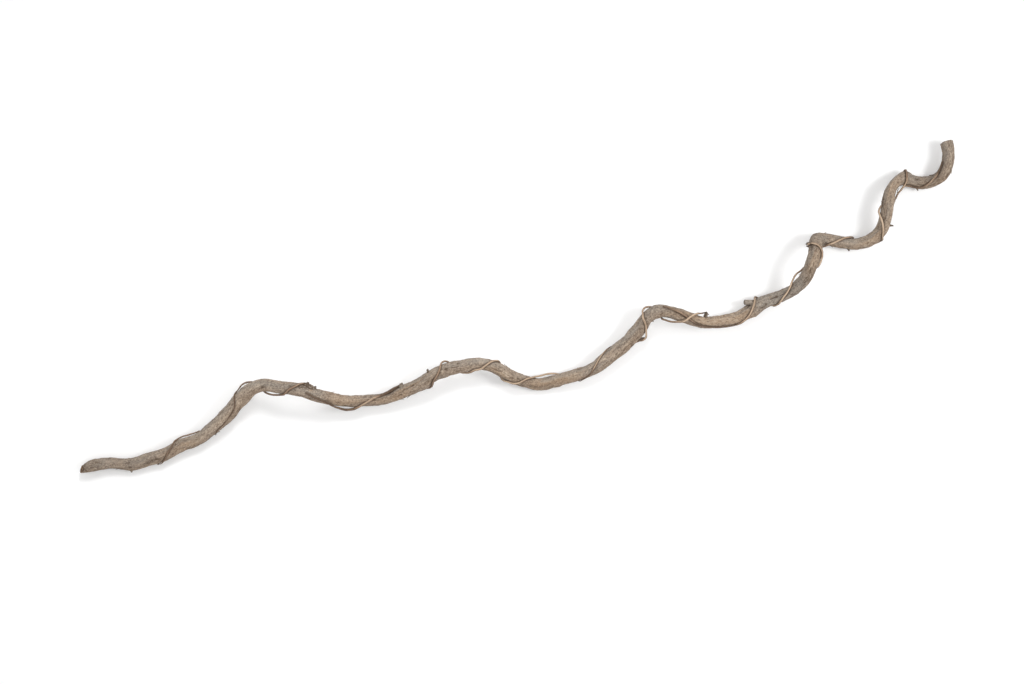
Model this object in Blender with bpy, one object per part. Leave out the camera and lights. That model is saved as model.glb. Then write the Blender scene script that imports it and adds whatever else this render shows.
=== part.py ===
"""Liana: a weathered woody stem that winds like a corkscrew, with thin climbing vines round it.

Metres, +Z up. X runs from the butt of the stem to its tip, and the liana lies on the plane z = 0,
where it rests on three low bends. The origin is the middle of its footprint. Angles round the stem
are counted from its top: plus 90 degrees is its +Y side and minus 90 degrees its -Y side.
"""

import math

import bmesh
import bpy
import numpy as np
from mathutils import Vector
from mathutils.bvhtree import BVHTree

MM = 0.001

# Centre line of the stem in millimetres: along X, across Y, height Z, and the stem's radius there
STEM_ROUTE = (
    (-999, 82, 21, 10.4), (-981, 80, 19, 12.6), (-939, 71, 15, 12.3), (-895, 53, 12, 13.4),
    (-855, 50, 16, 14.0), (-820, 48, 19, 13.8), (-784, 53, 20, 13.5), (-737, 53, 23, 13.3),
    (-706, 63, 27, 13.6), (-662, 80, 34, 14.9), (-622, 101, 43, 14.5), (-594, 112, 51, 13.8),
    (-568, 112, 58, 12.4), (-532, 94, 66, 12.9), (-494, 74, 70, 12.9), (-468, 54, 60, 12.8),
    (-441, 36, 45, 13.2), (-410, 16, 32, 13.0), (-374, 4, 26, 12.0), (-332, -8, 26, 12.3),
    (-293, -8, 31, 13.3), (-249, -5, 41, 13.5), (-215, 3, 50, 14.2), (-182, 4, 51, 14.2),
    (-145, -2, 45, 13.5), (-109, -11, 41, 13.4), (-84, -29, 42, 13.0), (-61, -55, 34, 13.8),
    (-37, -77, 21, 13.0), (-5, -97, 11.4, 13.2), (32, -102, 17, 12.8), (75, -106, 26, 13.3),
    (115, -105, 31, 12.7), (150, -95, 34, 13.9), (195, -79, 37, 14.5), (237, -58, 42, 13.8),
    (262, -42, 51, 13.1), (287, -39, 60, 13.9), (312, -51, 63, 12.6), (339, -72, 55, 12.7),
    (370, -95, 45, 12.3), (408, -106, 36, 12.1), (448, -112, 29, 12.8), (482, -106, 26, 14.2),
    (513, -101, 26, 13.3), (547, -101, 34, 12.7), (583, -94, 58, 13.3), (609, -77, 84, 13.3),
    (628, -56, 93, 13.5), (646, -36, 77, 13.8), (661, -17, 53, 14.4), (681, -20, 35, 13.0),
    (710, -37, 27, 12.7), (741, -53, 26, 12.8), (769, -55, 32, 12.8), (795, -46, 44, 13.2),
    (813, -25, 55, 13.2), (829, 5, 59, 13.4), (849, 31, 50, 12.4), (871, 42, 37, 12.6),
    (888, 43, 24, 12.9), (902, 31, 14.5, 12.9), (920, 21, 10.2, 12.8), (942, 17, 16, 12.0),
    (961, 20, 26, 12.5), (977, 33, 36, 12.7), (991, 57, 39, 12.5), (998, 84, 35, 13.2),
)
STEM_SIDES = 20
STEM_STEP = 13.5 * MM

# Lengthwise ridges of the bark: how many, height as a share of the radius, turns a metre, start
BARK_RIDGES = (
    (2, 0.035, 0.55, 0.4),
    (3, 0.035, -0.8, 1.9),
    (5, 0.045, 0.9, 0.0),
)
# Slow swelling and thinning of the stem: share of the radius, waves a metre, start
SWELLS = (
    (0.020, 9.0, 0.6),
    (0.018, 17.0, 2.1),
)
# Knots and burls in millimetres and degrees: X, angle, height, half length, half width
KNOTS = (
    (-706, -80, 1.0, 16, 40), (-622, 75, 1.4, 20, 45), (-494, 20, 1.4, 18, 50),
    (-441, -60, 1.4, 14, 35), (-293, 60, 1.4, 18, 40), (-236, -75, 2.4, 14, 45),
    (-84, 30, 1.4, 16, 45), (-50, -40, 1.4, 12, 35), (150, 80, 1.6, 22, 45),
    (232, -40, 1.6, 16, 50), (287, 70, 1.2, 18, 40), (478, -75, 2.2, 15, 45),
    (497, 70, 2.4, 16, 50), (650, 95, 2.2, 14, 45), (736, -70, 1.4, 14, 45),
    (888, 60, 1.2, 12, 45), (985, -20, 1.2, 14, 50),
)
# Half lengths of a knot past which it adds nothing
KNOT_REACH = 3.0
# How far the two cuts slope: shift along the stem for each unit of offset to its +Y side and up
BUTT_SLOPE = (0.45, 0.35)
TIP_SLOPE = (-0.15, 0.10)

# Broken twigs, thorns and buds in millimetres: root inside the stem, tip, radius at each
TWIGS = {
    "butt_nub": ((-898, 48, 12), (-903, 36, 9), 4.5, 1.5),
    "low_nub": ((-838, 43, 18), (-842, 31, 17), 4.2, 1.6),
    "flake_long": ((-480, 70, 68), (-470, 86, 75), 6.0, 1.4),
    "flake_short": ((-464, 60, 63), (-463, 80, 72), 6.0, 1.4),
    "knot_stub": ((-289, -2, 35), (-288, 11, 41), 6.0, 4.4),
    "top_nub": ((-223, 8, 53), (-223, 20, 59), 4.2, 1.8),
    "side_branch": ((505, -101, 30), (469, -86, 34), 6.8, 5.8),
    "fork_thorn": ((217, -74, 38), (242, -84, 40), 4.4, 1.4),
    "ridge_stub": ((376, -87, 48), (382, -76, 56), 5.0, 3.4),
    "corner_stub": ((650, -25, 64), (633, -13, 71), 5.4, 2.8),
    "corner_bud": ((720, -51, 27), (719, -62, 24), 4.0, 1.3),
    "tip_thorn": ((808, -38, 53), (820, -42, 55), 3.8, 1.0),
    "side_knob": ((824, 7, 60), (816, 17, 61), 4.6, 2.4),
    "tip_bud": ((906, 21, 14), (906, 8, 13), 3.6, 1.2),
}
TWIG_SIDES = 7

VINE_RADIUS = 2.4 * MM
VINE_STEP = 8.5 * MM
# 1 gives a vine eight sides
VINE_BEVEL = 1
# The ends of a vine narrow to this share of its radius over this many points
VINE_TIP_SHARE = 0.55
TAPER_STEPS = 4
# What a vine keeps clear of the bark, and of the plane that the liana lies on
VINE_GAP = 0.8 * MM
FLOOR_GAP = 0.5 * MM
PUSH_ROUNDS = 4
# Routes of the vines in millimetres and degrees: X, angle round the stem, lift off the bark.
# An angle that grows past 360 degrees is the vine's next turn round the stem.
VINES = {
    "vine_butt": (
        (-838, -100, 0), (-826, -62, 0), (-809, 2, 0), (-794, 44, 0), (-780, 72, 0),
        (-762, 82, 0), (-742, 88, 1), (-728, 130, 0), (-715, 200, 0), (-706, 265, 0),
        (-700, 304, 0), (-683, 315, 0), (-664, 328, 0), (-649, 342, 0), (-637, 356, 0),
        (-626, 382, 0), (-616, 406, 0), (-606, 424, 0), (-599, 438, 1), (-591, 456, 2),
        (-581, 500, 0), (-572, 560, 0), (-564, 620, 0), (-558, 652, 0), (-547, 654, 1),
        (-533, 650, 1.5), (-517, 676, 0), (-503, 734, 0), (-496, 768, 0), (-491, 796, 0),
    ),
    "vine_dip": (
        (-484, -8, 0), (-470, -24, 0), (-453, -38, 0), (-433, -62, 0.5), (-421, -80, 2.5),
        (-410, -88, 3.5), (-400, -78, 2), (-389, -46, 0), (-374, -24, 0), (-359, 8, 0),
        (-345, 38, 0), (-328, 58, 0), (-311, 70, 0), (-303, 76, 0),
    ),
    "vine_tip": (
        (296, 40, 0), (309, 24, 0), (321, 12, 0), (334, 4, 0), (345, -12, 0), (353, -26, 0),
        (370, -37, 0), (390, -44, 0), (411, -50, 0), (431, -50, 0), (453, -36, 0),
        (466, -20, 0), (477, 4, 0.5), (488, 35, 2), (497, 84, 1.5), (504, 142, 0.5),
        (510, 210, 0), (517, 275, 0), (526, 318, 0), (541, 328, 0), (556, 350, 0),
        (571, 382, 0), (581, 404, 0), (587, 428, 1), (595, 440, 2.5), (604, 448, 2.5),
        (612, 470, 1), (618, 520, 0), (622, 580, 0), (626, 625, 0), (634, 648, 0.5),
        (642, 660, 0), (646, 690, 0), (648, 720, 0), (649, 750, 0), (651, 785, 1),
        (655, 830, 1), (662, 890, 0), (670, 950, 0), (678, 1000, 0), (685, 1030, 0),
        (696, 1066, 0), (706, 1096, 0), (713, 1116, 0), (721, 1134, 0), (729, 1168, 0),
        (735, 1230, 0), (740, 1310, 0), (746, 1376, 0), (758, 1402, 0), (773, 1410, 0),
        (784, 1402, 0), (794, 1414, 0), (803, 1438, 0), (809, 1458, 0), (813, 1478, 0),
        (817, 1504, 1), (821, 1532, 3), (826, 1560, 1.5), (831, 1606, 0), (836, 1664, 0),
        (839, 1712, 0), (843, 1738, 0.5), (850, 1744, 2), (859, 1738, 2.5), (868, 1744, 1.2),
        (876, 1776, 0), (882, 1812, 0), (885, 1845, 0), (886, 1880, 1), (888, 1930, 0),
        (890, 1995, 0), (892, 2060, 0), (896, 2094, 0), (904, 2104, 0), (912, 2108, 0),
        (925, 2124, 0), (938, 2148, 0), (953, 2176, 0), (964, 2200, 0), (974, 2216, 0),
        (983, 2224, 0),
    ),
    "vine_middle": (
        (-274, -90, 0), (-262, -50, 0), (-250, -27, 0), (-234, -15, 0), (-219, -4, 0),
        (-206, 17, 0), (-196, 46, 0), (-188, 76, 0.3), (-181, 104, 0.8), (-172, 150, 0),
        (-159, 210, 0), (-145, 268, 0), (-130, 308, 0), (-110, 318, 0), (-100, 356, 0),
        (-93, 396, 0), (-88, 428, 0), (-82, 468, 0), (-75, 540, 0), (-68, 606, 0),
        (-61, 646, 0), (-54, 658, 0), (-50, 684, 0), (-41, 728, 0), (-30, 762, 0.5),
        (-13, 796, 3), (8, 806, 4.5), (24, 816, 2.5), (36, 848, 0), (50, 880, 0),
        (62, 912, 0), (73, 955, 0), (80, 988, 0), (87, 1014, 0), (100, 1040, 0),
        (110, 1070, 0), (122, 1100, 0), (133, 1118, 0), (147, 1130, 0), (162, 1138, 0),
        (174, 1150, 0), (187, 1180, 0), (199, 1240, 0), (210, 1300, 0), (221, 1344, 2),
        (231, 1364, 5), (240, 1388, 1), (250, 1418, 0), (256, 1458, 0), (260, 1498, 0),
        (262, 1524, 2.5), (266, 1532, 4.5), (271, 1540, 2), (277, 1570, 0), (284, 1630, 0),
        (290, 1682, 0), (296, 1714, 0.5), (304, 1726, 1.5), (313, 1726, 2), (321, 1734, 1.5),
        (328, 1768, 2.5), (339, 1816, 5), (348, 1846, 3), (357, 1872, 1), (365, 1884, 2),
    ),
}

# Linear colour and roughness
BARK_LOOK = ((0.31, 0.25, 0.20), 0.88)
VINE_LOOK = ((0.42, 0.27, 0.16), 0.80)


class Route:
    """A smooth curve through rows of values, as a function of the distance along it."""

    def __init__(self, rows, distances):
        self.rows = np.array(rows, dtype=float)
        self.distances = np.array(distances, dtype=float)
        steps = np.diff(self.distances)[:, None]
        slopes = np.diff(self.rows, axis=0) / steps
        inner = (slopes[:-1] * steps[1:] + slopes[1:] * steps[:-1]) / (steps[:-1] + steps[1:])
        self.slopes = np.vstack((slopes[:1], inner, slopes[-1:]))

    @property
    def length(self):
        return self.distances[-1]

    def locate(self, distance):
        """Return the piece that a distance falls in, the piece's length and the share passed."""
        piece = int(np.clip(np.searchsorted(self.distances, distance) - 1, 0, len(self.rows) - 2))
        span = self.distances[piece + 1] - self.distances[piece]
        return piece, span, (distance - self.distances[piece]) / span

    def at(self, distance):
        piece, span, share = self.locate(distance)
        square = share * share
        cube = square * share
        return (
            (2 * cube - 3 * square + 1) * self.rows[piece]
            + (cube - 2 * square + share) * span * self.slopes[piece]
            + (3 * square - 2 * cube) * self.rows[piece + 1]
            + (cube - square) * span * self.slopes[piece + 1]
        )

    def slope(self, distance):
        piece, span, share = self.locate(distance)
        square = share * share
        return (
            (6 * square - 6 * share) / span * (self.rows[piece] - self.rows[piece + 1])
            + (3 * square - 4 * share + 1) * self.slopes[piece]
            + (3 * square - 2 * share) * self.slopes[piece + 1]
        )


def running_length(points):
    """Distances along a run of points, from zero at the first."""
    steps = np.linalg.norm(np.diff(np.array(points, dtype=float), axis=0), axis=1)
    return np.concatenate(([0.0], np.cumsum(steps)))


def make_stem_route():
    rows = np.array(STEM_ROUTE, dtype=float) * MM
    return Route(rows, running_length(rows[:, :3]))


STEM = make_stem_route()
LOOKUP_STEPS = 2000
LOOKUP = np.linspace(0.0, STEM.length, LOOKUP_STEPS)
LOOKUP_X = np.array([STEM.at(distance)[0] for distance in LOOKUP])


def distance_at_x(x):
    """The stem never turns back along X, so each X is at one distance along it."""
    return float(np.interp(x, LOOKUP_X, LOOKUP))


def stem_axes(distance):
    """Centre, radius and the three directions of the stem: along, to its +Y side, and up."""
    row = STEM.at(distance)
    along = Vector(STEM.slope(distance)[:3]).normalized()
    side = Vector((0.0, 0.0, 1.0)).cross(along).normalized()
    return Vector(row[:3]), row[3], along, side, along.cross(side)


def knot_height(x, angle):
    """Height of the knots that reach a place on the bark."""
    height = 0.0
    for knot_x, knot_angle, peak, half_length, half_width in KNOTS:
        off = (x - knot_x * MM) / (half_length * MM)
        if abs(off) < KNOT_REACH:
            turn = math.cos(angle - math.radians(knot_angle)) - 1.0
            width = math.radians(half_width)
            height += peak * MM * math.exp(-off * off + 2.0 * turn / (width * width))
    return height


def bark_radius(distance, x, radius, angle):
    """Distance of the bark from the centre line."""
    share = 1.0
    for count, height, turns, start in BARK_RIDGES:
        share += height * math.cos(count * (angle - math.tau * turns * distance) + start)
    for height, waves, start in SWELLS:
        share += height * math.sin(math.tau * waves * distance + start)
    return radius * share + knot_height(x, angle)


def bark_point(distance, angle, lift=0.0, slope=(0.0, 0.0)):
    """A point on the bark, or lifted off it, or shifted along the stem by a sloping cut."""
    centre, radius, along, side, up = stem_axes(distance)
    reach = bark_radius(distance, centre.x, radius, angle) + lift
    aside = reach * math.sin(angle)
    above = reach * math.cos(angle)
    shift = slope[0] * aside + slope[1] * above
    return centre + side * aside + up * above + along * shift


def loft_rings(rings):
    """A closed mesh through rings of points, with a flat face at both ends."""
    mesh = bmesh.new()
    loops = [[mesh.verts.new(point) for point in ring] for ring in rings]
    sides = len(loops[0])
    for ring, following in zip(loops, loops[1:]):
        for index in range(sides):
            after = (index + 1) % sides
            mesh.faces.new((ring[index], ring[after], following[after], following[index]))
    mesh.faces.new(list(reversed(loops[0])))
    mesh.faces.new(loops[-1])
    bmesh.ops.recalc_face_normals(mesh, faces=mesh.faces)
    return mesh


def add_mesh_object(name, mesh, collection, material):
    data = bpy.data.meshes.new(name)
    mesh.to_mesh(data)
    mesh.free()
    data.materials.append(material)
    thing = bpy.data.objects.new(name, data)
    collection.objects.link(thing)
    return thing


def stem_rings():
    """Rings of points along the stem. What would reach below the plane it rests on is worn flat."""
    count = round(STEM.length / STEM_STEP)
    rings = []
    for index in range(count + 1):
        distance = STEM.length * index / count
        slope = BUTT_SLOPE if index == 0 else TIP_SLOPE if index == count else (0.0, 0.0)
        ring = []
        for side in range(STEM_SIDES):
            point = bark_point(distance, math.tau * side / STEM_SIDES, slope=slope)
            point.z = max(point.z, 0.0)
            ring.append(point)
        rings.append(ring)
    return rings


def add_twig(name, root, tip, root_radius, tip_radius, collection, material):
    """A short broken twig: a tapered stub from inside the stem to its tip."""
    start = Vector(root) * MM
    axis = Vector(tip) * MM - start
    bpy.ops.mesh.primitive_cone_add(
        vertices=TWIG_SIDES,
        radius1=root_radius * MM,
        radius2=tip_radius * MM,
        depth=axis.length,
        location=start + axis / 2,
        rotation=axis.to_track_quat("Z", "Y").to_euler(),
    )
    twig = bpy.context.object
    twig.name = name
    twig.data.materials.append(material)
    for owner in list(twig.users_collection):
        owner.objects.unlink(twig)
    collection.objects.link(twig)


def union_twigs(stem, twigs):
    """Join the twigs to the stem in one closed body, then drop the loose ones."""
    joint = stem.modifiers.new("twigs", "BOOLEAN")
    joint.operation = "UNION"
    joint.operand_type = "COLLECTION"
    joint.collection = twigs
    joint.solver = "EXACT"
    evaluated = stem.evaluated_get(bpy.context.evaluated_depsgraph_get())
    joined = bpy.data.meshes.new_from_object(evaluated)
    stem.modifiers.clear()
    stem.data = joined
    joined.name = stem.name
    for twig in list(twigs.objects):
        bpy.data.objects.remove(twig)
    bpy.data.collections.remove(twigs)


def surface_tree(thing):
    """Search tree over the faces of a mesh or curve object that stands at the origin."""
    evaluated = thing.evaluated_get(bpy.context.evaluated_depsgraph_get())
    mesh = bmesh.new()
    mesh.from_mesh(evaluated.to_mesh())
    tree = BVHTree.FromBMesh(mesh)
    mesh.free()
    evaluated.to_mesh_clear()
    return tree


def vine_points(rows, radius):
    """Points of a vine's centre line, evenly spaced, just off the bark."""
    rows = [(x * MM, math.radians(angle), lift * MM) for x, angle, lift in rows]
    corners = [bark_point(distance_at_x(x), angle, lift) for x, angle, lift in rows]
    route = Route(rows, running_length(corners))
    count = round(route.length / VINE_STEP)
    points = []
    for index in range(count + 1):
        x, angle, lift = route.at(route.length * index / count)
        points.append(bark_point(distance_at_x(x), angle, lift + radius + VINE_GAP))
    return points


def push_out(place, reach, tree):
    """The shift that takes a place to at least this reach outside a closed surface."""
    nearest, normal, _face, gap = tree.find_nearest(place)
    away = place - nearest
    if away.dot(normal) < 0.0:
        return normal * (reach + gap)
    return away.normalized() * max(reach - gap, 0.0)


def push_clear(points, radius, trees):
    """Move points out until the vine clears the bark, earlier vines and the plane below."""
    reach = radius + VINE_GAP
    for _ in range(PUSH_ROUNDS):
        for tree in trees:
            for point in points:
                point += push_out(point, reach, tree)
            for point, following in zip(points, points[1:]):
                shift = push_out((point + following) / 2, reach, tree)
                point += shift
                following += shift
        for point in points:
            point.z = max(point.z, radius + FLOOR_GAP)


def add_vine(name, rows, collection, material, trees):
    points = vine_points(rows, VINE_RADIUS)
    push_clear(points, VINE_RADIUS, trees)
    curve = bpy.data.curves.new(name, "CURVE")
    curve.dimensions = "3D"
    curve.bevel_depth = VINE_RADIUS
    curve.bevel_resolution = VINE_BEVEL
    curve.use_fill_caps = True
    spline = curve.splines.new("POLY")
    spline.points.add(len(points) - 1)
    for index, (knot, point) in enumerate(zip(spline.points, points)):
        ends = min(index, len(points) - 1 - index) / TAPER_STEPS
        knot.co = (*point, 1.0)
        knot.radius = VINE_TIP_SHARE + (1.0 - VINE_TIP_SHARE) * min(ends, 1.0)
    curve.materials.append(material)
    vine = bpy.data.objects.new(name, curve)
    collection.objects.link(vine)
    return vine


def make_material(name, colour, roughness):
    material = bpy.data.materials.new(name)
    material.use_nodes = True
    shader = material.node_tree.nodes["Principled BSDF"]
    shader.inputs["Base Color"].default_value = (*colour, 1.0)
    shader.inputs["Roughness"].default_value = roughness
    shader.inputs["Metallic"].default_value = 0.0
    return material


def main():
    for thing in list(bpy.data.objects):
        bpy.data.objects.remove(thing)
    liana = bpy.data.collections.new("liana")
    bpy.context.scene.collection.children.link(liana)
    bark = make_material("bark", *BARK_LOOK)
    vine_bark = make_material("vine_bark", *VINE_LOOK)

    stem = add_mesh_object("stem", loft_rings(stem_rings()), liana, bark)
    twigs = bpy.data.collections.new("twigs")
    bpy.context.scene.collection.children.link(twigs)
    for name, (root, tip, root_radius, tip_radius) in TWIGS.items():
        add_twig(name, root, tip, root_radius, tip_radius, twigs, bark)
    union_twigs(stem, twigs)

    trees = [surface_tree(stem)]
    for name, rows in VINES.items():
        vine = add_vine(name, rows, liana, vine_bark, trees)
        trees.append(surface_tree(vine))


main()
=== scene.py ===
"""Looks of the liana: fine bark, cut ends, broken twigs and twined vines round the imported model.

Metres, +Z up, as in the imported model. The stem repeats the route, ridges and knots of part.py. The vines
and twigs follow those of part.py to within a few millimetres, apart from stretches of vine that differ by
up to 20 mm.
"""

import math
import random

import bmesh
import bpy
import numpy as np
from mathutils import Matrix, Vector, kdtree, noise
from mathutils.bvhtree import BVHTree

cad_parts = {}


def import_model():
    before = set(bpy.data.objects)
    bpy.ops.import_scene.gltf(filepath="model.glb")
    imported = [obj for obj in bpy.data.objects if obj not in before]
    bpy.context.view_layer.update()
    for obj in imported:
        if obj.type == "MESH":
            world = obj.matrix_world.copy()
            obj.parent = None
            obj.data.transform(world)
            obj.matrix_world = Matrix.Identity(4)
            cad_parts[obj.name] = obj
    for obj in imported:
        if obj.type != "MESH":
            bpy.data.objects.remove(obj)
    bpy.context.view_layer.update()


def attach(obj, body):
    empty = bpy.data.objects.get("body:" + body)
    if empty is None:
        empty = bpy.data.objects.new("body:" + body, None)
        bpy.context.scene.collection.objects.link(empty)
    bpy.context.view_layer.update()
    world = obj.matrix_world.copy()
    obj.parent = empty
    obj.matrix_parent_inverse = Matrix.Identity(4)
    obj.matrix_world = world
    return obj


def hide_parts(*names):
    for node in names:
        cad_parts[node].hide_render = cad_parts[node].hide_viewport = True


MM = 0.001

# Centre line of the stem in millimetres: along X, across Y, height Z, and the stem's radius there
STEM_ROUTE = (
    (-999, 82, 21, 10.4), (-981, 80, 19, 12.6), (-939, 71, 15, 12.3), (-895, 53, 12, 13.4),
    (-855, 50, 16, 14.0), (-820, 48, 19, 13.8), (-784, 53, 20, 13.5), (-737, 53, 23, 13.3),
    (-706, 63, 27, 13.6), (-662, 80, 34, 14.9), (-622, 101, 43, 14.5), (-594, 112, 51, 13.8),
    (-568, 112, 58, 12.4), (-532, 94, 66, 12.9), (-494, 74, 70, 12.9), (-468, 54, 60, 12.8),
    (-441, 36, 45, 13.2), (-410, 16, 32, 13.0), (-374, 4, 26, 12.0), (-332, -8, 26, 12.3),
    (-293, -8, 31, 13.3), (-249, -5, 41, 13.5), (-215, 3, 50, 14.2), (-182, 4, 51, 14.2),
    (-145, -2, 45, 13.5), (-109, -11, 41, 13.4), (-84, -29, 42, 13.0), (-61, -55, 34, 13.8),
    (-37, -77, 21, 13.0), (-5, -97, 11.4, 13.2), (32, -102, 17, 12.8), (75, -106, 26, 13.3),
    (115, -105, 31, 12.7), (150, -95, 34, 13.9), (195, -79, 37, 14.5), (237, -58, 42, 13.8),
    (262, -42, 51, 13.1), (287, -39, 60, 13.9), (312, -51, 63, 12.6), (339, -72, 55, 12.7),
    (370, -95, 45, 12.3), (408, -106, 36, 12.1), (448, -112, 29, 12.8), (482, -106, 26, 14.2),
    (513, -101, 26, 13.3), (547, -101, 34, 12.7), (583, -94, 58, 13.3), (609, -77, 84, 13.3),
    (628, -56, 93, 13.5), (646, -36, 77, 13.8), (661, -17, 53, 14.4), (681, -20, 35, 13.0),
    (710, -37, 27, 12.7), (741, -53, 26, 12.8), (769, -55, 32, 12.8), (795, -46, 44, 13.2),
    (813, -25, 55, 13.2), (829, 5, 59, 13.4), (849, 31, 50, 12.4), (871, 42, 37, 12.6),
    (888, 43, 24, 12.9), (902, 31, 14.5, 12.9), (920, 21, 10.2, 12.8), (942, 17, 16, 12.0),
    (961, 20, 26, 12.5), (977, 33, 36, 12.7), (991, 57, 39, 12.5), (998, 84, 35, 13.2),
)

# Lengthwise ridges of the bark: how many, height as a share of the radius, turns a metre, start
BARK_RIDGES = (
    (2, 0.035, 0.55, 0.4),
    (3, 0.035, -0.8, 1.9),
    (5, 0.045, 0.9, 0.0),
)
# Slow swelling and thinning of the stem: share of the radius, waves a metre, start
SWELLS = (
    (0.020, 9.0, 0.6),
    (0.018, 17.0, 2.1),
)
# Knots and burls in millimetres and degrees: X, angle, height, half length, half width
KNOTS = (
    (-706, -80, 1.0, 16, 40), (-622, 75, 1.4, 20, 45), (-494, 20, 1.4, 18, 50),
    (-441, -60, 1.4, 14, 35), (-293, 60, 1.4, 18, 40), (-236, -75, 2.4, 14, 45),
    (-84, 30, 1.4, 16, 45), (-50, -40, 1.4, 12, 35), (150, 80, 1.6, 22, 45),
    (232, -40, 1.6, 16, 50), (287, 70, 1.2, 18, 40), (478, -75, 2.2, 15, 45),
    (497, 70, 2.4, 16, 50), (650, 95, 2.2, 14, 45), (736, -70, 1.4, 14, 45),
    (888, 60, 1.2, 12, 45), (985, -20, 1.2, 14, 50),
)
# How far the two cuts slope: shift along the stem for each unit of offset to its +Y side and up
BUTT_SLOPE = (0.45, 0.35)
TIP_SLOPE = (-0.15, 0.10)

# Broken twigs, thorns and buds in millimetres: root inside the stem, tip, radius at each
TWIGS = {
    "butt_nub": ((-898, 48, 12), (-903, 36, 9), 4.5, 1.5),
    "low_nub": ((-838, 43, 18), (-842, 31, 17), 4.2, 1.6),
    "flake_long": ((-482, 70, 68), (-471, 84, 74), 6.0, 2.4),
    "flake_short": ((-470, 62, 64), (-459, 70, 68), 5.6, 2.0),
    "knot_stub": ((-289, -2, 35), (-288, 11, 41), 6.0, 4.4),
    "top_nub": ((-223, 8, 53), (-223, 20, 59), 4.2, 1.8),
    "side_branch": ((505, -101, 30), (466, -85, 35), 6.8, 5.6),
    "fork_thorn": ((217, -74, 38), (242, -84, 40), 4.4, 1.4),
    "ridge_stub": ((376, -87, 48), (382, -76, 56), 5.0, 3.4),
    "corner_stub": ((650, -25, 64), (633, -13, 71), 5.4, 2.8),
    "corner_prong": ((648, -29, 65), (632, -19, 66), 4.0, 1.4),
    "corner_bud": ((720, -51, 27), (719, -62, 24), 4.0, 1.3),
    "tip_thorn": ((806, -36, 53), (824, -44, 55), 4.6, 1.2),
    "side_knob": ((824, 7, 60), (818, 15, 61), 4.6, 2.6),
    "tip_bud": ((906, 21, 14), (906, 8, 13), 3.6, 1.2),
}

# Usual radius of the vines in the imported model, and of these
VINE_RADIUS = 2.4 * MM
FINE_RADIUS = 2.0 * MM
# Distance between the points that a vine's line is first pushed out at, and between its rings
VINE_STEP = 8.5 * MM
VINE_SPACING = 1.6 * MM
VINE_SIDES = 14
PUSH_ROUNDS = 4
VINE_SMOOTHS = 3
# The ends of a vine narrow to this share of its radius over this length
VINE_TIP_SHARE = 0.55
VINE_TAPER = 34.0 * MM
# Distance between a vine's nodes, and half the length of one
VINE_NODE = 46.0 * MM
NODE_LENGTH = 4.0 * MM
# What a vine keeps clear of the bark, and of the plane that the liana lies on
FINE_GAP = 0.15 * MM
FLOOR_GAP = 0.5 * MM
# Painted contact shade beside a vine is full up to the first of these distances from its middle, none past
# the second
VINE_CONTACT_SHADE_BAND = (3.2 * MM, 6.4 * MM)
# A ray goes on from this far past a surface that it has met
RAY_STEP = 0.001 * MM
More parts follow.
